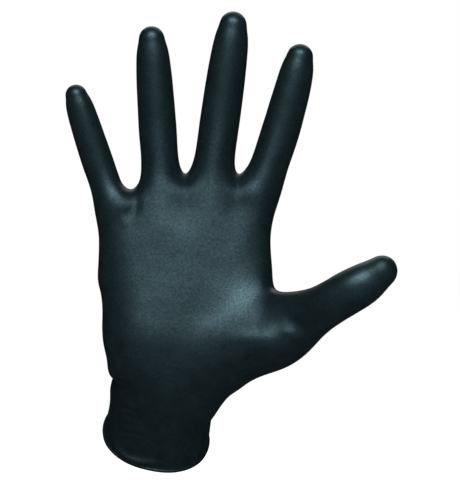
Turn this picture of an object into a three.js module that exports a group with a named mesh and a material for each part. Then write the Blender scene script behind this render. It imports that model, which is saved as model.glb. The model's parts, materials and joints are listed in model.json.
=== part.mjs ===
// A nitrile exam glove as it stands on an open right hand: palm to -Y, fingers up +Z, thumb to +X.
// The film is one hollow skin, drawn over the form of the hand and ended by a rolled bead.
// The origin is the centre of the cuff's mouth. All sizes are in millimetres and degrees.
import * as THREE from "three";

// Film and bead
const FILM = 1;
const BEAD = 3;

// Cuff, from its mouth to the wrist
const MOUTH_WIDTH = 54.5;
const MOUTH_DEPTH = 51;
const CUFF_LENGTH = 41;
const CUFF_SLANT = 38; // back from the palm
const CUFF_SWAY = 16; // towards the little finger

// Wrist and palm
const WRIST_WIDTH = 57;
const WRIST_DEPTH = 41;
const PALM_WIDTH = 87;
const PALM_LENGTH = 85; // wrist to knuckles
const PALM_DEPTH = 29;
const PALM_LEAN = 5; // towards the thumb

// Digits
const LITTLE_LENGTH = 78;
const LITTLE_WIDTH = 16;
const LITTLE_DEPTH = 15;
const RING_LENGTH = 97;
const RING_WIDTH = 19.2;
const RING_DEPTH = 17;
const MIDDLE_LENGTH = 103.5;
const MIDDLE_WIDTH = 20.3;
const MIDDLE_DEPTH = 18;
const INDEX_LENGTH = 92;
const INDEX_WIDTH = 19.5;
const INDEX_DEPTH = 17.5;
const THUMB_LENGTH = 111.5;
const THUMB_WIDTH = 22;
const THUMB_DEPTH = 20;

// How widely the film bridges from one form to the next
const WEB_BRIDGE = 9;
const THUMB_BRIDGE = 16;
const MOUND_BRIDGE = 14;

// Each digit: where its root lies as shares of the palm's width, depth and length, its own length, width
// and depth, how it leans to the thumb's side at its root and at its tip, and how far forward it bends
// along its length.
const DIGITS = [
  {
    name: "little", across: -0.365, up: 0.9,
    length: LITTLE_LENGTH, width: LITTLE_WIDTH, depth: LITTLE_DEPTH,
    lean: -21, tipLean: -16, forward: 0, curl: 10,
  },
  {
    name: "ring", across: -0.13, up: 0.98,
    length: RING_LENGTH, width: RING_WIDTH, depth: RING_DEPTH,
    lean: -4, tipLean: -3.5, forward: 0, curl: 9,
  },
  {
    name: "middle", across: 0.12, up: 1,
    length: MIDDLE_LENGTH, width: MIDDLE_WIDTH, depth: MIDDLE_DEPTH,
    lean: 8, tipLean: 8, forward: 0, curl: 9,
  },
  {
    name: "index", across: 0.366, up: 0.98,
    length: INDEX_LENGTH, width: INDEX_WIDTH, depth: INDEX_DEPTH,
    lean: 23.5, tipLean: 11, forward: 0, curl: 9,
  },
  {
    name: "thumb", across: 0.24, up: 0.118,
    length: THUMB_LENGTH, width: THUMB_WIDTH, depth: THUMB_DEPTH,
    lean: 65.2, tipLean: 55.5, forward: 0.2, curl: 0,
  },
];

// Sections along a finger and the thumb, root to tip: shares of the digit's length, width and depth. The
// thumb's also say how far forward its axis points on the way there, in degrees.
const FINGER_SECTIONS = [
  { along: 0, width: 1.1, depth: 1.2 },
  { along: 0.15, width: 1.14, depth: 1.34 },
  { along: 0.3, width: 1, depth: 1.16 },
  { along: 0.5, width: 1, depth: 1.02 },
  { along: 0.72, width: 0.95, depth: 0.96 },
  { along: 0.86, width: 0.85, depth: 0.86 },
  { along: 0.925, width: 0.7, depth: 0.72 },
];
const THUMB_SECTIONS = [
  { along: 0, width: 0.85, depth: 1.4, forward: 0 },
  { along: 0.22, width: 1.2, depth: 1.45, forward: 4 },
  { along: 0.44, width: 1.27, depth: 1.2, forward: 30 },
  { along: 0.62, width: 1.02, depth: 1, forward: 38 },
  { along: 0.8, width: 0.95, depth: 0.9, forward: 22 },
  { along: 0.925, width: 0.7, depth: 0.68, forward: -6 },
];

// The cuff's narrowest section: shares of its length and of the wrist's width and depth, and of that
// width its shift towards the thumb.
const CUFF_WAIST = { along: 0.62, width: 0.925, depth: 1.1, shift: -0.025 };

// Sections of the palm, wrist to knuckles: shares of its length, width and depth, and the middle's shift
// towards the thumb as a share of its width and forward as a share of its depth. Corner is the exponent
// of the section's rounded outline.
const PALM_SECTIONS = [
  { along: 0.22, width: 0.83, depth: 1.36, shift: -0.008, forward: 0.1, corner: 3 },
  { along: 0.5, width: 1, depth: 1.22, shift: 0.03, forward: 0.07, corner: 3.4 },
  { along: 0.78, width: 1, depth: 1.06, shift: 0.01, forward: 0.03, corner: 3.8 },
  { along: 0.98, width: 0.94, depth: 0.94, shift: -0.015, forward: 0.01, corner: 3.6 },
];

// The rounded end of the palm between the fingers, as a share of the palm's depth.
const TRUNK_CAP = 0.45;

// Soft mounds of the palm: place as shares of the palm's half width, half depth and length, size as
// shares of the palm's width, depth and length.
const MOUNDS = [
  { name: "thumb_ball", across: 0.93, forward: 1, up: 0.26, width: 0.5, depth: 1.02, length: 0.36 },
];

// Hollows pressed into the face below the webs: the ends of each as shares of the palm's width and
// length, its breadth as a share of the palm's width and its depth as a share of the palm's depth.
const DENTS = [
  { name: "ring_web", from: [-0.056, 1.18], to: [-0.056, 1.1], breadth: 0.05, depth: 0.04 },
  { name: "middle_web", from: [0.225, 1.12], to: [0.225, 1.04], breadth: 0.05, depth: 0.04 },
];

// Fineness of the mesh
const EDGES = 4; // on each of the four sides of a digit
const DIGIT_RINGS = 12;
const CUFF_ROWS = 8;
const PALM_ROWS = 11;
const BEAD_SIDES = 8;
const SPINE_STEPS = 48;
const RELAX_PASSES = 30;
const RELAX_SHARE = 0.4;
const TAUT_PASSES = 8;

// Where the film is taut: how squarely a point faces forward, shares of the palm's length from the wrist
// where this starts and ends, and the share of the palm's width where it ends on the thumb's side. Each
// fades between two values.
const TAUT = { facing: [0.5, 0.9], start: [0.1, 0.35], end: [1.1, 1.4], side: [0.5, 0.8] };
const TIP_LIFTS = [20, 42]; // how far up a rounded tip its last rings lie

const rad = THREE.MathUtils.degToRad;
const { lerp, clamp, smoothstep } = THREE.MathUtils;
const BACK = new THREE.Vector3(0, 1, 0);
const PROBE_STEP = 0.1;
const LONGEST_STEP = 4;
const LAND_STEP = 1;
const LAND_END = 0.01;
const DIGIT_LOOP = 4 * EDGES;
const PALM_LOOP = 10 * EDGES;
const ROOT_SHARE = 0.1; // along a finger, where the palm's last row lies
const WEB_SHARE = 0.2; // along a finger, where its rings begin
const THUMB_SHARE = 0.34;

// The direction that leans to the thumb's side and tips forward to the palm's side.
function heading(lean, forward) {
  return new THREE.Vector3(
    Math.sin(rad(lean)) * Math.cos(rad(forward)),
    -Math.sin(rad(forward)),
    Math.cos(rad(lean)) * Math.cos(rad(forward)),
  );
}

const CUFF_AXIS = heading(CUFF_SWAY, CUFF_SLANT);
const PALM_AXIS = heading(PALM_LEAN, 0);
const WRIST = CUFF_AXIS.clone().multiplyScalar(CUFF_LENGTH);

// A point of the palm, from shares of its width, depth and length.
function palmPoint(across, forward, up) {
  return WRIST.clone()
    .addScaledVector(PALM_AXIS, up * PALM_LENGTH)
    .add(new THREE.Vector3(across * PALM_WIDTH, -forward * PALM_DEPTH, 0));
}

// A limb is a smooth spine with a width, a depth and a corner exponent along it. Its rings hold the
// spine's points with their axes: along, side (to the thumb) and back.
function limb(stations, cap) {
  const spine = new THREE.CatmullRomCurve3(stations.map((s) => s.at), false, "catmullrom", 0.5);
  const sizes = stations.map((s) => new THREE.Vector3(s.width / 2, s.depth / 2, s.corner ?? 2));
  const girth = new THREE.CatmullRomCurve3(sizes, false, "catmullrom", 0.5);
  const rings = [];
  for (let i = 0; i <= SPINE_STEPS; i++) {
    const t = i / SPINE_STEPS;
    const along = spine.getTangent(t);
    const back = BACK.clone().addScaledVector(along, -BACK.dot(along)).normalize();
    const side = back.clone().cross(along);
    const { x: halfWidth, y: halfDepth, z: corner } = girth.getPoint(t);
    rings.push({ at: spine.getPoint(t), along, side, back, halfWidth, halfDepth, corner });
  }
  const centre = rings[0].at.clone().lerp(rings[SPINE_STEPS].at, 0.5);
  const reach = Math.max(...rings.map((r) => r.at.distanceTo(centre) + 1.2 * r.halfWidth));
  return { rings, cap, centre, reach };
}

// The ring at a share of the limb's spine.
function ringAt(form, share) {
  const place = clamp(share, 0, 1) * SPINE_STEPS;
  const i = Math.min(Math.floor(place), SPINE_STEPS - 1);
  const [a, b] = [form.rings[i], form.rings[i + 1]];
  const ring = {};
  for (const key of ["at", "along", "side", "back"]) ring[key] = a[key].clone().lerp(b[key], place - i);
  for (const key of ["halfWidth", "halfDepth", "corner"]) ring[key] = lerp(a[key], b[key], place - i);
  return ring;
}

// A point on the limb's own surface: an angle round it, and a lift up its rounded tip.
function onLimb(form, share, angle, lift = 0) {
  const ring = ringAt(form, share);
  const [c, s] = [Math.cos(angle), Math.sin(angle)];
  const round = (Math.abs(c) ** ring.corner + Math.abs(s) ** ring.corner) ** (-1 / ring.corner);
  const reach = round * Math.cos(lift);
  return ring.at
    .clone()
    .addScaledVector(ring.side, ring.halfWidth * c * reach)
    .addScaledVector(ring.back, ring.halfDepth * s * reach)
    .addScaledVector(ring.along, form.cap * Math.sin(lift));
}

// About the signed distance from a point to the limb's surface, negative inside.
function limbDistance(form, p) {
  let [nearest, best, share] = [Infinity, 0, 0];
  for (let i = 0; i < SPINE_STEPS; i++) {
    const a = form.rings[i].at;
    const b = form.rings[i + 1].at;
    const dx = b.x - a.x;
    const dy = b.y - a.y;
    const dz = b.z - a.z;
    const px = p.x - a.x;
    const py = p.y - a.y;
    const pz = p.z - a.z;
    const u = Math.min(1, Math.max(0, (px * dx + py * dy + pz * dz) / (dx * dx + dy * dy + dz * dz)));
    const gap = (px - u * dx) ** 2 + (py - u * dy) ** 2 + (pz - u * dz) ** 2;
    if (gap < nearest) {
      nearest = gap;
      best = i;
      share = u;
    }
  }
  const a = form.rings[best];
  const b = form.rings[best + 1];
  const v = p.clone().sub(a.at.clone().lerp(b.at, share));
  const along = a.along.clone().lerp(b.along, share).normalize();
  const back = a.back.clone().lerp(b.back, share).normalize();
  const beyond = (best === SPINE_STEPS - 1 && share === 1) || (best === 0 && share === 0);
  const axial = v.dot(along);
  const depth = v.dot(back);
  const lateral = Math.sqrt(Math.max(0, v.lengthSq() - axial ** 2 - depth ** 2));
  const power = lerp(a.corner, b.corner, share);
  const width = lerp(a.halfWidth, b.halfWidth, share);
  const thick = lerp(a.halfDepth, b.halfDepth, share);
  const x = lateral / width;
  const y = Math.abs(depth) / thick;
  const z = beyond ? Math.abs(axial) / form.cap : 0;
  const norm = (x ** power + y ** power + z ** power) ** (1 / power) + 1e-9;
  const slope = Math.hypot(
    (x / norm) ** (power - 1) / width,
    (y / norm) ** (power - 1) / thick,
    (z / norm) ** (power - 1) / form.cap,
  );
  return (norm - 1) / slope;
}

function moundDistance(mound, p) {
  const v = p.clone().sub(mound.at);
  const norm = Math.hypot(v.x / mound.size.x, v.y / mound.size.y, v.z / mound.size.z) + 1e-9;
  const slope = Math.hypot(v.x / mound.size.x ** 2, v.y / mound.size.y ** 2, v.z / mound.size.z ** 2);
  return ((norm - 1) * norm) / (slope + 1e-9);
}

// The lesser of two distances, rounded where they are within the bridge of each other.
function bridge(a, b, width) {
  const h = Math.max(width - Math.abs(a - b), 0) / width;
  return Math.min(a, b) - (h * h * width) / 4;
}

// The palm and the cuff are one limb, which starts beyond the mouth.
function trunkLimb() {
  const mouth = { width: MOUTH_WIDTH, depth: MOUTH_DEPTH, corner: 2.2 };
  const stations = [
    { at: WRIST.clone().multiplyScalar(-0.5), ...mouth },
    { at: new THREE.Vector3(), ...mouth },
    {
      at: WRIST.clone()
        .multiplyScalar(CUFF_WAIST.along)
        .add(new THREE.Vector3(CUFF_WAIST.shift * WRIST_WIDTH, 0, 0)),
      width: CUFF_WAIST.width * WRIST_WIDTH,
      depth: CUFF_WAIST.depth * WRIST_DEPTH,
    },
    { at: WRIST.clone(), width: WRIST_WIDTH, depth: WRIST_DEPTH },
    ...PALM_SECTIONS.map((s) => ({
      at: palmPoint(s.shift, s.forward, s.along),
      width: s.width * PALM_WIDTH,
      depth: s.depth * PALM_DEPTH,
      corner: s.corner,
    })),
  ];
  return limb(stations, TRUNK_CAP * PALM_DEPTH);
}

function digitLimb(digit) {
  const sections = digit.name === "thumb" ? THUMB_SECTIONS : FINGER_SECTIONS;
  const at = palmPoint(digit.across, digit.forward, digit.up);
  const stations = [];
  let reached = 0;
  for (const s of sections) {
    const middle = (reached + s.along) / 2;
    const lean = lerp(digit.lean, digit.tipLean, middle);
    const forward = s.forward ?? digit.curl * middle;
    at.addScaledVector(heading(lean, forward), (s.along - reached) * digit.length);
    reached = s.along;
    stations.push({ at: at.clone(), width: s.width * digit.width, depth: s.depth * digit.depth });
  }
  return limb(stations, (1 - reached) * digit.length);
}

const trunk = trunkLimb();
const digits = DIGITS.map(digitLimb);
const fingers = digits.slice(0, 4);
const thumb = digits[4];
const mounds = MOUNDS.map((m) => ({
  at: palmPoint(m.across / 2, m.forward / 2, m.up),
  size: new THREE.Vector3(m.width * PALM_WIDTH, m.depth * PALM_DEPTH, m.length * PALM_LENGTH).divideScalar(2),
}));

const dents = DENTS.map((dent) => {
  const [from, to] = [dent.from, dent.to].map(([across, up]) => palmPoint(across, 0, up).setY(0));
  return {
    line: new THREE.Line3(from, to),
    breadth: dent.breadth * PALM_WIDTH,
    depth: dent.depth * PALM_DEPTH,
  };
});

// How far the hollows press in the palm's face at a point.
function pressed(p) {
  const facing = smoothstep(WRIST.y - p.y, 0, PALM_DEPTH / 3);
  if (facing === 0) return 0;
  const flat = p.clone().setY(0);
  const nearest = new THREE.Vector3();
  let sum = 0;
  for (const { line, breadth, depth } of dents) {
    const away = line.closestPointToPoint(flat, true, nearest).distanceTo(flat) / breadth;
    if (away < 3) sum += depth * Math.exp(-away * away);
  }
  return facing * sum;
}

// The form under the film: the signed distance from its surface, negative inside.
function form(p) {
  let d = limbDistance(trunk, p);
  const add = (limb, width) => {
    const least = p.distanceTo(limb.centre) - limb.reach;
    if (least < d + width) d = bridge(d, limbDistance(limb, p), width);
  };
  for (const finger of fingers) add(finger, WEB_BRIDGE);
  for (const mound of mounds) d = bridge(d, moundDistance(mound, p), MOUND_BRIDGE);
  add(thumb, THUMB_BRIDGE);
  return d + pressed(p);
}

// The form's distance and slope at a point, from four points round it.
const CORNERS = [[1, -1, -1], [-1, -1, 1], [-1, 1, -1], [1, 1, 1]].map((c) => new THREE.Vector3(...c));
function probe(p, step = PROBE_STEP) {
  const slope = new THREE.Vector3();
  let distance = 0;
  for (const corner of CORNERS) {
    const d = form(p.clone().addScaledVector(corner, step));
    slope.addScaledVector(corner, d / (4 * step));
    distance += d / 4;
  }
  return { distance, slope };
}

// Moves a point onto the form's surface. A point of the rim stays in the plane of the rim.
function settle(p, steps, inRim = false) {
  for (let i = 0; i < steps; i++) {
    const { distance, slope } = probe(p);
    if (inRim) slope.addScaledVector(CUFF_AXIS, -slope.dot(CUFF_AXIS));
    const move = clamp(distance / Math.max(slope.lengthSq(), 0.2), -LONGEST_STEP, LONGEST_STEP);
    p.addScaledVector(slope, -move);
  }
  return p;
}

// Goes from a point outside the form towards it, and stops at its surface.
function land(start, direction) {
  const p = start.clone();
  let step = LAND_STEP;
  while (step > LAND_END) {
    const inside = form(p) < 0;
    if (inside) step /= 2;
    p.addScaledVector(direction, inside ? -step : step);
  }
  return p;
}

// The skin: points of the film's outer face, and quads between them.
const points = [];
const quads = [];

function point(p) {
  points.push(p);
  return points.length - 1;
}

function joinLoops(low, high, skip = () => false) {
  for (let k = 0; k < low.length; k++) {
    const next = (k + 1) % low.length;
    if (!skip(k)) quads.push([low[k], low[next], high[next], high[k]]);
  }
}

// The places of a palm loop: its front runs to the thumb's side, its back returns.
const front = (i) => i;
const thumbSide = (j) => 4 * EDGES + j;
const backSide = (i) => 9 * EDGES - i;
const littleSide = (j) => (9 * EDGES + j) % PALM_LOOP;

// The angle round the trunk of each place in a palm loop.
function loopAngle(k) {
  const flank = 50;
  const sheet = 180 - flank;
  if (k <= 4 * EDGES) return rad(180 + flank / 2 + (sheet * k) / (4 * EDGES));
  if (k <= 5 * EDGES) return rad(-flank / 2 + (flank * (k - 4 * EDGES)) / EDGES);
  if (k <= 9 * EDGES) return rad(flank / 2 + (sheet * (k - 5 * EDGES)) / (4 * EDGES));
  return rad(180 - flank / 2 + (flank * (k - 9 * EDGES)) / EDGES);
}

// Shares of the trunk's spine: the bead's neck, the wrist and the palm's last plain row.
const WRIST_SHARE = 3 / (3 + PALM_SECTIONS.length);
const HIGH_SHARE = 1 - 1 / (3 + PALM_SECTIONS.length);
function neckShare() {
  let [low, high] = [0, WRIST_SHARE];
  for (let i = 0; i < 30; i++) {
    const middle = (low + high) / 2;
    if (ringAt(trunk, middle).at.dot(CUFF_AXIS) < BEAD) low = middle;
    else high = middle;
  }
  return low;
}

const neck = neckShare();
const rowShares = [];
for (let j = 0; j <= CUFF_ROWS; j++) rowShares.push(lerp(neck, WRIST_SHARE, j / CUFF_ROWS));
for (let j = 1; j <= PALM_ROWS; j++) rowShares.push(lerp(WRIST_SHARE, HIGH_SHARE, j / PALM_ROWS));

// The thumb leaves through a gap of EDGES rows in the palm's thumb side.
const THUMB_ROW = CUFF_ROWS + 2;
const inGap = (j, k) => j > THUMB_ROW && j < THUMB_ROW + EDGES && k > 4 * EDGES && k < 5 * EDGES;
const rows = rowShares.map((share, j) => {
  const place = (k) => (inGap(j, k) ? null : point(onLimb(trunk, share, loopAngle(k))));
  return Array.from({ length: PALM_LOOP }, (_, k) => place(k));
});

// The palm's last row follows the roots of the fingers.
const ringAngle = (k) => rad(-135 + (360 * k) / DIGIT_LOOP);
const between = (f, share) => {
  const [a, b] = [ringAt(fingers[f], share), ringAt(fingers[f + 1], share)];
  return { at: a.at.lerp(b.at, 0.5), up: a.along.add(b.along).normalize(), halfDepth: a.halfDepth };
};
const rootRow = new Array(PALM_LOOP);
fingers.forEach((finger, f) => {
  const root = (k) => point(onLimb(finger, ROOT_SHARE, ringAngle(k)));
  for (let k = 1; k < EDGES; k++) {
    rootRow[front(f * EDGES + k)] = root(k);
    rootRow[backSide(f * EDGES + k)] = root(3 * EDGES - k);
  }
  if (f === 0) for (let j = 0; j <= EDGES; j++) rootRow[littleSide(j)] = root(3 * EDGES + j);
  if (f === 3) for (let j = 0; j <= EDGES; j++) rootRow[thumbSide(j)] = root(EDGES + j);
  if (f < 3) {
    const { at, up } = between(f, ROOT_SHARE);
    at.addScaledVector(up, WEB_BRIDGE / 4);
    const place = (side) => {
      const out = BACK.clone().multiplyScalar(side);
      return land(at.clone().addScaledVector(out, 2 * PALM_DEPTH), out.negate());
    };
    rootRow[front((f + 1) * EDGES)] = point(place(-1));
    rootRow[backSide((f + 1) * EDGES)] = point(place(1));
  }
});
rows.push(rootRow);

for (let j = 0; j + 1 < rows.length; j++) {
  const byThumb = j >= THUMB_ROW && j < THUMB_ROW + EDGES;
  joinLoops(rows[j], rows[j + 1], (k) => byThumb && k >= 4 * EDGES && k < 5 * EDGES);
}

// Webs between neighbouring fingers: the points of a saddle from the palm's front to its back.
const webs = [0, 1, 2].map((f) => {
  const { at, up, halfDepth } = between(f, WEB_SHARE);
  const down = up.clone().negate();
  return Array.from({ length: EDGES - 1 }, (_, j) => {
    const share = (2 * (j + 1)) / EDGES - 1;
    const above = at.clone().addScaledVector(BACK, share * halfDepth).addScaledVector(up, PALM_DEPTH);
    return point(land(above, down));
  });
});

function fingerRoot(f) {
  const loop = [];
  for (let k = 0; k < EDGES; k++) loop.push(rootRow[front(f * EDGES + k)]);
  loop.push(rootRow[front((f + 1) * EDGES)]);
  for (let j = 1; j < EDGES; j++) loop.push(f === 3 ? rootRow[thumbSide(j)] : webs[f][j - 1]);
  for (let k = 0; k < EDGES; k++) loop.push(rootRow[backSide((f + 1) * EDGES - k)]);
  loop.push(rootRow[backSide(f * EDGES)]);
  for (let j = 1; j < EDGES; j++) loop.push(f === 0 ? rootRow[littleSide(j)] : webs[f - 1][EDGES - 1 - j]);
  return loop;
}

function thumbRoot() {
  const [low, high] = [THUMB_ROW, THUMB_ROW + EDGES];
  const loop = [];
  for (let k = 0; k < EDGES; k++) loop.push(rows[high - k][thumbSide(0)]);
  for (let k = 0; k < EDGES; k++) loop.push(rows[low][thumbSide(k)]);
  for (let k = 0; k < EDGES; k++) loop.push(rows[low + k][thumbSide(EDGES)]);
  for (let k = 0; k < EDGES; k++) loop.push(rows[high][thumbSide(EDGES - k)]);
  return loop;
}

// Rings of a digit from its root loop to its rounded tip, closed by a grid of quads.
function addDigit(limb, root, start) {
  let low = root;
  for (let i = 0; i < DIGIT_RINGS; i++) {
    const share = lerp(start, 1, i / (DIGIT_RINGS - 1));
    const ring = Array.from({ length: DIGIT_LOOP }, (_, k) => point(onLimb(limb, share, ringAngle(k))));
    joinLoops(low, ring);
    low = ring;
  }
  let last = low;
  for (const lift of TIP_LIFTS) {
    const place = (k) => point(onLimb(limb, 1, ringAngle(k), rad(lift)));
    const ring = Array.from({ length: DIGIT_LOOP }, (_, k) => place(k));
    joinLoops(last, ring);
    last = ring;
  }
  const end = ringAt(limb, 1);
  const tip = new Map();
  const grid = (u, v) => {
    if (v === 0) return last[u];
    if (u === EDGES) return last[EDGES + v];
    if (v === EDGES) return last[3 * EDGES - u];
    if (u === 0) return last[(4 * EDGES - v) % DIGIT_LOOP];
    const key = u * EDGES + v;
    if (!tip.has(key)) {
      const [x, y] = [(2 * u) / EDGES - 1, (2 * v) / EDGES - 1];
      const at = end.at
        .clone()
        .addScaledVector(end.side, x * end.halfWidth * 0.5)
        .addScaledVector(end.back, y * end.halfDepth * 0.5)
        .addScaledVector(end.along, limb.cap * 0.9);
      tip.set(key, point(at));
    }
    return tip.get(key);
  };
  for (let u = 0; u < EDGES; u++) {
    for (let v = 0; v < EDGES; v++) {
      quads.push([grid(u, v), grid(u + 1, v), grid(u + 1, v + 1), grid(u, v + 1)]);
    }
  }
}

fingers.forEach((finger, f) => addDigit(finger, fingerRoot(f), WEB_SHARE));
addDigit(thumb, thumbRoot(), THUMB_SHARE);

// Draws the skin over the form: each point settles, then slides towards its neighbours' middle.
const rim = new Set(rows[0]);
const near = points.map(() => new Set());
for (const quad of quads)
  quad.forEach((a, i) => {
    const b = quad[(i + 1) % 4];
    near[a].add(b);
    near[b].add(a);
  });
const onWeb = new Set(webs.flat());
points.forEach((p, i) => onWeb.has(i) || settle(p, 4, rim.has(i)));
const middleOf = (i) => {
  const middle = new THREE.Vector3();
  near[i].forEach((j) => middle.add(points[j]));
  return middle.divideScalar(near[i].size);
};
for (let pass = 0; pass < RELAX_PASSES; pass++) {
  const middles = points.map((_, i) => middleOf(i));
  points.forEach((p, i) => {
    if (!rim.has(i)) settle(p.lerp(middles[i], RELAX_SHARE), pass === RELAX_PASSES - 1 ? 3 : 1);
  });
}

// Over the palm's face the film is taut and spans the dips of the form: how taut it is at a point.
function tautness(p) {
  const { slope } = probe(p);
  const v = p.clone().sub(WRIST);
  const up = v.dot(PALM_AXIS) / PALM_LENGTH;
  const facing = smoothstep(-slope.y / slope.length(), ...TAUT.facing);
  const fromWrist = smoothstep(up, ...TAUT.start);
  const toFingers = 1 - smoothstep(up, ...TAUT.end);
  const toThumb = 1 - smoothstep(v.x / PALM_WIDTH, ...TAUT.side);
  return facing * fromWrist * toFingers * toThumb;
}

const taut = points.map(tautness);
for (let pass = 0; pass < TAUT_PASSES; pass++) {
  const middles = points.map((_, i) => middleOf(i));
  points.forEach((p, i) => p.lerp(middles[i], taut[i] * RELAX_SHARE));
}

// The inner face lies one film's thickness inside the outer one.
const inner = points.map((p, i) => {
  const { slope } = probe(p);
  if (rim.has(i)) slope.addScaledVector(CUFF_AXIS, -slope.dot(CUFF_AXIS));
  return p.clone().addScaledVector(slope.normalize(), -FILM);
});

// The bead: a roll round the film's edge, from the outer face to the inner one.
const neckAngle = Math.asin(FILM / BEAD);
const beadRows = Array.from({ length: BEAD_SIDES - 1 }, (_, i) => {
  const angle = neckAngle + ((2 * Math.PI - 2 * neckAngle) * (i + 1)) / BEAD_SIDES;
  return rows[0].map((k) => {
    const out = points[k].clone().sub(inner[k]).normalize();
    const middle = points[k].clone().lerp(inner[k], 0.5);
    return middle
      .addScaledVector(CUFF_AXIS, (BEAD / 2) * (Math.cos(angle) - Math.cos(neckAngle)))
      .addScaledVector(out, (BEAD / 2) * Math.sin(angle));
  });
});

function glove() {
  const all = [...points, ...inner, ...beadRows.flat()];
  const count = points.length;
  const innerRow = rows[0].map((k) => k + count);
  const beadLoops = beadRows.map((row, i) => row.map((_, k) => 2 * count + i * PALM_LOOP + k));
  const faces = [...quads, ...quads.map((q) => q.map((k) => k + count).reverse())];
  const loops = [rows[0], ...beadLoops, innerRow];
  for (let i = 0; i + 1 < loops.length; i++)
    for (let k = 0; k < PALM_LOOP; k++) {
      const next = (k + 1) % PALM_LOOP;
      faces.push([loops[i + 1][k], loops[i + 1][next], loops[i][next], loops[i][k]]);
    }
  const geometry = new THREE.BufferGeometry();
  geometry.setAttribute("position", new THREE.Float32BufferAttribute(all.flatMap((p) => p.toArray()), 3));
  geometry.setIndex(faces.flatMap(([a, b, c, d]) => [a, b, c, a, c, d]));
  geometry.computeVertexNormals();
  const nitrile = new THREE.MeshStandardMaterial({ color: 0x12181a, roughness: 0.5, metalness: 0 });
  const mesh = new THREE.Mesh(geometry, nitrile);
  mesh.name = "glove_film";
  return mesh;
}

const group = new THREE.Group();
group.add(glove());
export default group;
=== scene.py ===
"""A black nitrile exam glove as it stands on an open hand: a dipped film with a rolled bead."""
import json
import math

import bmesh
import bpy
import numpy as np
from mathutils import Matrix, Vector, kdtree, noise


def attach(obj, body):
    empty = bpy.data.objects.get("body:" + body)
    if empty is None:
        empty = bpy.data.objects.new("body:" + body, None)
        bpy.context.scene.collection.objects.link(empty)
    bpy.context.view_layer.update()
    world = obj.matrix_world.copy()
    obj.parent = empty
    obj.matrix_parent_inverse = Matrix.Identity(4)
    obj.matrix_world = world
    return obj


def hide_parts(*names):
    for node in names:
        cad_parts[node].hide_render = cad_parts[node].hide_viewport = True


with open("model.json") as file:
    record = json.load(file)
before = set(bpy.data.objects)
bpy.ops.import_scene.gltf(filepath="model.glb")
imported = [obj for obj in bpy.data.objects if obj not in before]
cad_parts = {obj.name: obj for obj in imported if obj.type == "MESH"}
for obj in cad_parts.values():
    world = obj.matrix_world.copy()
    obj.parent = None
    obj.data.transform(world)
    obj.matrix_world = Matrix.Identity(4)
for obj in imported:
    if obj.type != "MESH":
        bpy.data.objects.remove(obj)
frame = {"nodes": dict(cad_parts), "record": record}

MM = 0.001
WHITE = (1, 1, 1, 1)

# The photograph's frame: its size in pixels, the pixel where the origin lies, and the size of one pixel
# at the plane of the palm
PHOTO_WIDTH = 460
PHOTO_HEIGHT = 487
ORIGIN_PX = (156, 437)
PIXEL = 0.51 * MM

# Camera, which looks square at the plane of the palm
PALM_PLANE = -22 * MM
CAMERA_DISTANCE = 1.1
SENSOR_MM = 36
NEAREST_SEEN = 0.01

# Lamps: place and size in metres, power in watts. Only the upper edge of the fill rises above the floor.
LIT_POINT = (0.04, -0.02, 0.1)
LAMPS = {
    "key": {"place": (0.02, -0.85, 0.75), "size": (0.7, 0.45), "power": 11.8},
    "fill": {"place": (-0.1, -1.2, -0.3), "size": (1.2, 0.5), "power": 0.5},
    "back": {"place": (0.1, 0.8, 1.1), "size": (1.4, 0.8), "power": 5},
}

# Surround: how strongly its white lights the film, and the floor, whose glow grows away from its middle
AMBIENT = 0.012
FLOOR_RADIUS = 6
FLOOR_SIDES = 96
FLOOR_HEIGHT = -0.12
FLOOR_COLOUR = (0.8, 0.8, 0.8, 1)
FLOOR_ROUGHNESS = 0.9
FLOOR_GLOW = (0.72, 1)
GLOW_GROWS = (0.15, 0.8)

# The film's mesh
SKIN_LEVELS = 2
SAME_POINT = 0.001 * MM
ANY_ANGLE = math.pi
BEAD = 3 * MM
BEAD_TOP = 0.4 * BEAD  # how far in from the mouth's plane the film's outer face begins
FINE_BOX_MM = [(-30, -60, -20), (32, -1, 28)]

# How far film has to face the palm's side to have folds, pads and the painted shade of the hollows in
# full
PALM_FACING = 0.5

# How a fold fades: the shares of its length beyond which it fades no more, and how sharply it fades
FADE_ENDS = (0.02, 0.98)
FADE_POWER = 1.2

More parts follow.
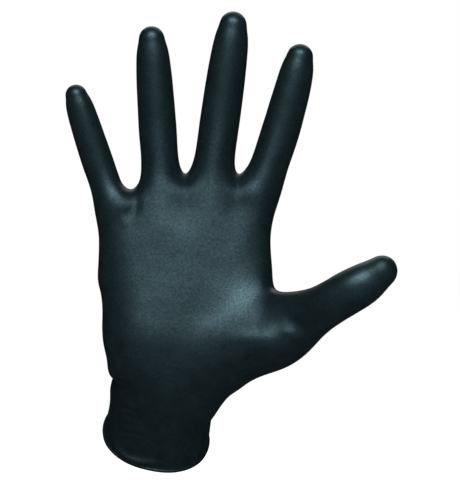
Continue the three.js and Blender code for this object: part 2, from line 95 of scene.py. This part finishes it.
# Folds of the film on the palm's side, in millimetres: the points (x, z) that each runs through, its
# breadth and how far it stands out or, where negative, dips in
FOLDS = {
    "bead fold": {
        "path": [(-23, 3), (-19.5, -4), (-14.3, -8.2), (-6.8, -10.2), (8, -11.5)],
        "breadth": 1.5,
        "height": 2.1,
    },
    "cuff wrinkle 1": {"path": [(-19, 12.6), (-6, 9.4)], "breadth": 1, "height": 0.6},
    "cuff wrinkle 2": {"path": [(-18, 7.8), (-5, 5.2)], "breadth": 1, "height": 0.55},
    "cuff wrinkle 3": {"path": [(-16, 3.4), (-4, 1.4)], "breadth": 1, "height": 0.5},
    "cuff wrinkle 4": {"path": [(-18, 21.8), (-5, 16)], "breadth": 1.1, "height": 0.6},
    "cuff wrinkle 5": {"path": [(-22, 17.8), (-9, 13.8)], "breadth": 1, "height": 0.5},
    "cuff wrinkle 6": {"path": [(19, -4.6), (24.5, -12.2)], "breadth": 1.1, "height": 0.5},
    "cuff wrinkle 7": {"path": [(17, 24), (27, 19.5)], "breadth": 1.2, "height": 0.4},
    "cuff wrinkle 8": {"path": [(-4, 14.3), (9, 11.5)], "breadth": 1.2, "height": 0.3},
    "thumb fold": {"path": [(63, 57.5), (69, 56), (76, 52.7)], "breadth": 1.8, "height": 0.9},
    "thumb valley": {"path": [(65, 65.5), (71, 61.5), (79, 55.6)], "breadth": 2.6, "height": -1},
    "little web crease": {
        "path": [(-8.6, 127), (-8.8, 117.5), (-11, 115.6), (-17, 114.8)],
        "breadth": 1.5,
        "height": -0.9,
    },
    "little web bump": {"path": [(-17, 111.5), (-12, 111)], "breadth": 2.4, "height": 0.4},
}

# Soft pads and dips of the palm's side, in millimetres: middle (x, z), half length and half breadth,
# degrees by which the length rises to the right, and how far it stands out
PADS = {
    "little web": {"middle": (-14, 121), "size": (8, 6), "rise": 10, "height": 0.9},
    "ring web": {"middle": (15, 128), "size": (8, 6), "rise": 0, "height": 0.8},
    "middle web": {"middle": (44, 127), "size": (9, 6), "rise": 0, "height": 0.8},
    "thumb ball": {"middle": (58, 51), "size": (18, 8), "rise": -11, "height": 3},
    "thumb ball dip": {"middle": (36, 64), "size": (15, 9), "rise": 0, "height": -0.7},
    "heel": {"middle": (-8, 52), "size": (20, 13), "rise": 0, "height": 1},
    "palm edge": {"middle": (57, 92), "size": (6, 20), "rise": 0, "height": 0.9},
    "thumb pad": {"middle": (112, 76), "size": (15, 5.5), "rise": 32, "height": 1.6},
}

# Swells of the wrist's sides, in millimetres: middle, half sizes, and how far each stands out
SWELLS = {
    "little side": {"middle": (-22, -22, 28), "size": (12, 22, 7), "height": 1.9},
    "little side, upper": {"middle": (-20, -31, 35.5), "size": (8, 16, 4.5), "height": 2},
    "thumb side": {"middle": (45, -32, 28), "size": (11, 22, 7), "height": 3},
}

# Slack of the film, in millimetres: breadth of its waves and how far they stand out
SLACK = {
    "broad": {"breadth": 16, "height": 0.14},
    "fine": {"breadth": 6, "height": 0.05},
}

# Hollows between the fingers, where painted shade lowers the film's sheen, in the same measures as the
# pads
SHADED_HOLLOWS = {
    "little": {"middle": (-13, 119), "size": (10, 10), "rise": 0},
    "ring": {"middle": (14, 125), "size": (8, 10), "rise": 0},
    "middle": {"middle": (42, 124), "size": (10, 11), "rise": 20},
}

# The film's textures. A scale of 1000 gives waves about a millimetre long.
GRAIN = {"Scale": 1100, "Detail": 3, "Roughness": 0.6}
MOTTLE = {"Scale": 850, "Detail": 2, "Roughness": 0.7}
BLOTCH = {"Scale": 160, "Detail": 4, "Roughness": 0.55}
TEXTURE_ENDS = (0.3, 0.7)  # nearly all of a texture lies between these

# The film's look. Each pair gives the values at the low and the high end of a texture.
NITRILE_IOR = 1.52
HIGHLIGHT_TINT = (0.49, 0.83, 0.96, 1)
FILM_COLOURS = [(0.0025, 0.006, 0.0075, 1), (0.0045, 0.0095, 0.0115, 1)]
SHEEN = (0.32, 0.68)
# Painted shade: the share of the sheen left in the hollows between the fingers
SHADED_HOLLOW_SHEEN = 0.3  # of the sheen, in the hollows
ROUGHNESS = (0.36, 0.47)
GRAIN_HEIGHT = 0.15 * MM
GRAIN_STRENGTH = 0.35

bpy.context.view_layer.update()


def new_object(name, data):
    obj = bpy.data.objects.new(name, data)
    bpy.context.scene.collection.objects.link(obj)
    return obj


def make_camera():
    """A camera that looks square at the palm and shows the origin at its pixel."""
    # The origin lies behind the palm's plane, where a pixel covers more.
    origin_pixel = PIXEL * (1 - PALM_PLANE / CAMERA_DISTANCE)
    data = bpy.data.cameras.new("camera")
    data.sensor_width = SENSOR_MM
    data.lens = SENSOR_MM * CAMERA_DISTANCE / (PHOTO_HEIGHT * PIXEL)
    data.clip_start = NEAREST_SEEN
    camera = new_object("camera", data)
    camera.location = (
        (PHOTO_WIDTH / 2 - ORIGIN_PX[0]) * origin_pixel,
        PALM_PLANE - CAMERA_DISTANCE,
        (ORIGIN_PX[1] - PHOTO_HEIGHT / 2) * origin_pixel,
    )
    camera.rotation_euler = (math.radians(90), 0, 0)
    bpy.context.scene.camera = camera


def read_points(mesh, what="co"):
    """The mesh's points or normals as an array."""
    values = np.zeros(len(mesh.vertices) * 3)
    mesh.vertices.foreach_get(what, values)
    return values.reshape(-1, 3)


def write_points(mesh, points):
    mesh.vertices.foreach_set("co", points.ravel())
    mesh.update()


def film_cage():
    """The film's solid as a cage of quads."""
    bm = bmesh.new()
    bm.from_mesh(frame["nodes"]["glove_film"].data)
    bmesh.ops.remove_doubles(bm, verts=bm.verts, dist=SAME_POINT)
    bmesh.ops.join_triangles(
        bm, faces=bm.faces, angle_face_threshold=ANY_ANGLE, angle_shape_threshold=ANY_ANGLE
    )
    bmesh.ops.recalc_face_normals(bm, faces=bm.faces)
    mesh = bpy.data.meshes.new("cage")
    bm.to_mesh(mesh)
    bm.free()
    return mesh


def subdivided(mesh):
    """A Catmull-Clark surface whose points start with those of the cage."""
    obj = new_object("cage", mesh)
    modifier = obj.modifiers.new("skin", "SUBSURF")
    modifier.levels = modifier.render_levels = SKIN_LEVELS
    seen = obj.evaluated_get(bpy.context.evaluated_depsgraph_get())
    fine = bpy.data.meshes.new_from_object(seen)
    bpy.data.objects.remove(obj)
    return fine


def through_points(mesh):
    """The subdivided surface, with the cage first pushed out by as much as subdivision pulls it in."""
    cage = read_points(mesh)
    pulled = read_points(subdivided(mesh))[: len(cage)]
    write_points(mesh, 2 * cage - pulled)
    return subdivided(mesh)


def refine(mesh):
    """Splits the quads where the cuff's folds lie."""
    low, high = (Vector(corner) * MM for corner in FINE_BOX_MM)
    bm = bmesh.new()
    bm.from_mesh(mesh)
    inside = {v for v in bm.verts if all(low[i] < v.co[i] < high[i] for i in range(3))}
    edges = [edge for edge in bm.edges if inside.issuperset(edge.verts)]
    bmesh.ops.subdivide_edges(bm, edges=edges, cuts=1, use_grid_fill=True)
    bm.to_mesh(mesh)
    bm.free()


def outer_skin(mesh):
    """Which points lie on the film's outer face: those joined to its highest point, above the bead."""
    points = read_points(mesh)
    out_of_mouth = np.array(frame["record"]["mounts"][0]["axis"])
    above = points @ -out_of_mouth > BEAD_TOP
    near = [[] for _ in points]
    for a, b in (edge.vertices for edge in mesh.edges):
        near[a].append(b)
        near[b].append(a)
    outer = np.zeros(len(points), bool)
    highest = int(np.argmax(points[:, 2]))
    outer[highest] = True
    ends = [highest]
    while ends:
        for i in near[ends.pop()]:
            if above[i] and not outer[i]:
                outer[i] = True
                ends.append(i)
    return outer


def palm_side(normals):
    """1 where the film faces the palm's side, fading to 0 where it faces sideways."""
    return np.clip(-normals[:, 1] / PALM_FACING, 0, 1)


def fold_height(x, z, path, breadth, height):
    """How far a fold stands out at a place of the palm's side. It fades at both ends."""
    starts = np.array(path[:-1])
    steps = np.array(path[1:]) - starts
    lengths = np.hypot(*steps.T)
    before = np.concatenate([[0], np.cumsum(lengths)])
    nearest = np.full(x.shape, np.inf)
    share = np.zeros(x.shape)
    for (start_x, start_z), (step_x, step_z), length, run in zip(starts, steps, lengths, before):
        along = np.clip(((x - start_x) * step_x + (z - start_z) * step_z) / length**2, 0, 1)
        gap = np.hypot(x - start_x - along * step_x, z - start_z - along * step_z)
        nearer = gap < nearest
        nearest[nearer] = gap[nearer]
        share[nearer] = (run + along * length)[nearer] / before[-1]
    fade = np.sin(np.pi * np.clip(share, *FADE_ENDS)) ** FADE_POWER
    return height * fade * np.exp(-((nearest / breadth) ** 2))


def patch(x, z, middle, size, rise):
    """1 at the middle of an oval patch of the palm's side, fading to 0 about it."""
    turn = math.radians(rise)
    along = (x - middle[0]) * math.cos(turn) + (z - middle[1]) * math.sin(turn)
    across = (z - middle[1]) * math.cos(turn) - (x - middle[0]) * math.sin(turn)
    return np.exp(-((along / size[0]) ** 2) - (across / size[1]) ** 2)


def detail(points, normals):
    """How far folds, pads, swells and slack move each point of the film's outer face, outwards."""
    x, _, z = (points / MM).T
    facing = palm_side(normals)
    height = np.zeros(len(points))
    for fold in FOLDS.values():
        height += facing * fold_height(x, z, fold["path"], fold["breadth"], fold["height"])
    for pad in PADS.values():
        height += facing * pad["height"] * patch(x, z, pad["middle"], pad["size"], pad["rise"])
    for swell in SWELLS.values():
        away = (points / MM - swell["middle"]) / swell["size"]
        height += swell["height"] * np.exp(-(away**2).sum(1))
    for wave in SLACK.values():
        places = points / (wave["breadth"] * MM)
        height += wave["height"] * np.array([noise.noise(place) for place in places])
    return height * MM


def painted_hollow_shade(points, normals):
    """How strongly painted shade lowers the film's sheen at each point, from 0 to 1: in the hollows
    between the fingers, on the palm's side.
    """
    x, _, z = (points / MM).T
    hollow_shade = np.zeros(len(points))
    for hollow in SHADED_HOLLOWS.values():
        hollow_shade = np.maximum(hollow_shade, patch(x, z, hollow["middle"], hollow["size"], hollow["rise"]))
    return hollow_shade * palm_side(normals)


def dress(mesh):
    """Folds the film: the inner face and the bead go with the nearest points of the outer face."""
    points = read_points(mesh)
    normals = read_points(mesh, "normal")
    outer = outer_skin(mesh)
    outside = np.flatnonzero(outer)
    moves = np.zeros_like(points)
    moves[outside] = normals[outside] * detail(points[outside], normals[outside])[:, None]
    tree = kdtree.KDTree(len(outside))
    for i in outside:
        tree.insert(points[i], int(i))
    tree.balance()
    for i in np.flatnonzero(~outer):
        _, nearest, _ = tree.find(points[i])
        moves[i] = moves[nearest]
    write_points(mesh, points + moves)
    # Painted shade of the hollows between the fingers, kept on each point
    mesh.attributes.new("hollow_shade", "FLOAT", "POINT").data.foreach_set("value", painted_hollow_shade(points, normals))


def new_node(tree, kind, values=None):
    """A new node, with values for its inputs."""
    node = tree.nodes.new(kind)
    for name, value in (values or {}).items():
        node.inputs[name].default_value = value
    return node


def map_range(tree, source, to, ends=(0, 1)):
    """A node that turns a value between two ends into one between two others."""
    values = {"From Min": ends[0], "From Max": ends[1], "To Min": to[0], "To Max": to[1]}
    node = new_node(tree, "ShaderNodeMapRange", values)
    tree.links.new(source, node.inputs["Value"])
    return node


def new_material(name, values):
    """A material, with values for its shader, and that shader."""
    material = bpy.data.materials.new(name)
    material.use_nodes = True
    shader = material.node_tree.nodes["Principled BSDF"]
    for socket, value in values.items():
        shader.inputs[socket].default_value = value
    return material, shader


def nitrile():
    """Black dipped nitrile: a satin film with a fine mottled grain."""
    material, shader = new_material("nitrile", {"IOR": NITRILE_IOR, "Specular Tint": HIGHLIGHT_TINT})
    tree = material.node_tree
    links = tree.links
    place = new_node(tree, "ShaderNodeTexCoord").outputs["Object"]

    def texture(values):
        node = new_node(tree, "ShaderNodeTexNoise", values)
        links.new(place, node.inputs["Vector"])
        return node.outputs["Fac"]

    grain = texture(GRAIN)

    colour = new_node(tree, "ShaderNodeValToRGB")
    for element, end, shade in zip(colour.color_ramp.elements, TEXTURE_ENDS, FILM_COLOURS):
        element.position = end
        element.color = shade
    links.new(texture(BLOTCH), colour.inputs["Fac"])
    links.new(colour.outputs["Color"], shader.inputs["Base Color"])

    # Painted shade: the sheen is lowered in the hollows between the fingers
    hollow_shade = new_node(tree, "ShaderNodeAttribute")
    hollow_shade.attribute_name = "hollow_shade"
    sheen = new_node(tree, "ShaderNodeMath")
    sheen.operation = "MULTIPLY"
    links.new(map_range(tree, texture(MOTTLE), SHEEN, TEXTURE_ENDS).outputs["Result"], sheen.inputs[0])
    links.new(map_range(tree, hollow_shade.outputs["Fac"], (1, SHADED_HOLLOW_SHEEN)).outputs["Result"], sheen.inputs[1])
    links.new(sheen.outputs["Value"], shader.inputs["Specular IOR Level"])

    links.new(map_range(tree, grain, ROUGHNESS).outputs["Result"], shader.inputs["Roughness"])

    bump = new_node(tree, "ShaderNodeBump", {"Strength": GRAIN_STRENGTH, "Distance": GRAIN_HEIGHT})
    links.new(grain, bump.inputs["Height"])
    links.new(bump.outputs["Normal"], shader.inputs["Normal"])
    return material


def make_glove():
    mesh = through_points(film_cage())
    refine(mesh)
    dress(mesh)
    mesh.name = "glove"
    mesh.materials.clear()
    mesh.materials.append(nitrile())
    mesh.polygons.foreach_set("use_smooth", [True] * len(mesh.polygons))
    glove = new_object("glove", mesh)
    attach(glove, "root")
    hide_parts("glove_film")


def make_lamp(name, place, size, power):
    """An area lamp that points at the middle of the glove."""
    data = bpy.data.lights.new(name, "AREA")
    data.shape = "RECTANGLE"
    data.size, data.size_y = size
    data.energy = power
    lamp = new_object(name, data)
    lamp.location = place
    lamp.rotation_euler = (Vector(LIT_POINT) - Vector(place)).to_track_quat("-Z", "Y").to_euler()


def make_floor():
    """A round pale floor that brightens to the surround's white away from its middle."""
    bm = bmesh.new()
    bmesh.ops.create_circle(bm, cap_ends=True, segments=FLOOR_SIDES, radius=FLOOR_RADIUS)
    mesh = bpy.data.meshes.new("floor")
    bm.to_mesh(mesh)
    bm.free()
    floor = new_object("floor", mesh)
    floor.location = (0, 0, FLOOR_HEIGHT)
    floor.visible_glossy = False
    look = {"Base Color": FLOOR_COLOUR, "Roughness": FLOOR_ROUGHNESS, "Emission Color": WHITE}
    material, shader = new_material("floor", look)
    tree = material.node_tree
    place = new_node(tree, "ShaderNodeTexCoord")
    distance = new_node(tree, "ShaderNodeVectorMath")
    distance.operation = "LENGTH"
    tree.links.new(place.outputs["Object"], distance.inputs[0])
    glow = map_range(tree, distance.outputs["Value"], FLOOR_GLOW, GLOW_GROWS)
    glow.interpolation_type = "SMOOTHSTEP"
    tree.links.new(glow.outputs["Result"], shader.inputs["Emission Strength"])
    mesh.materials.append(material)


def make_world():
    """A white surround for the eye, which lights the film only faintly."""
    world = bpy.data.worlds.new("studio")
    bpy.context.scene.world = world
    world.use_nodes = True
    tree = world.node_tree
    background = tree.nodes["Background"]
    background.inputs["Color"].default_value = WHITE
    ray = new_node(tree, "ShaderNodeLightPath")
    strength = map_range(tree, ray.outputs["Is Camera Ray"], (AMBIENT, 1))
    tree.links.new(strength.outputs["Result"], background.inputs["Strength"])


def make_studio():
    for name, lamp in LAMPS.items():
        make_lamp(name, **lamp)
    bpy.context.scene.view_settings.view_transform = "Standard"
    make_world()
    make_floor()


make_camera()
make_studio()
make_glove()
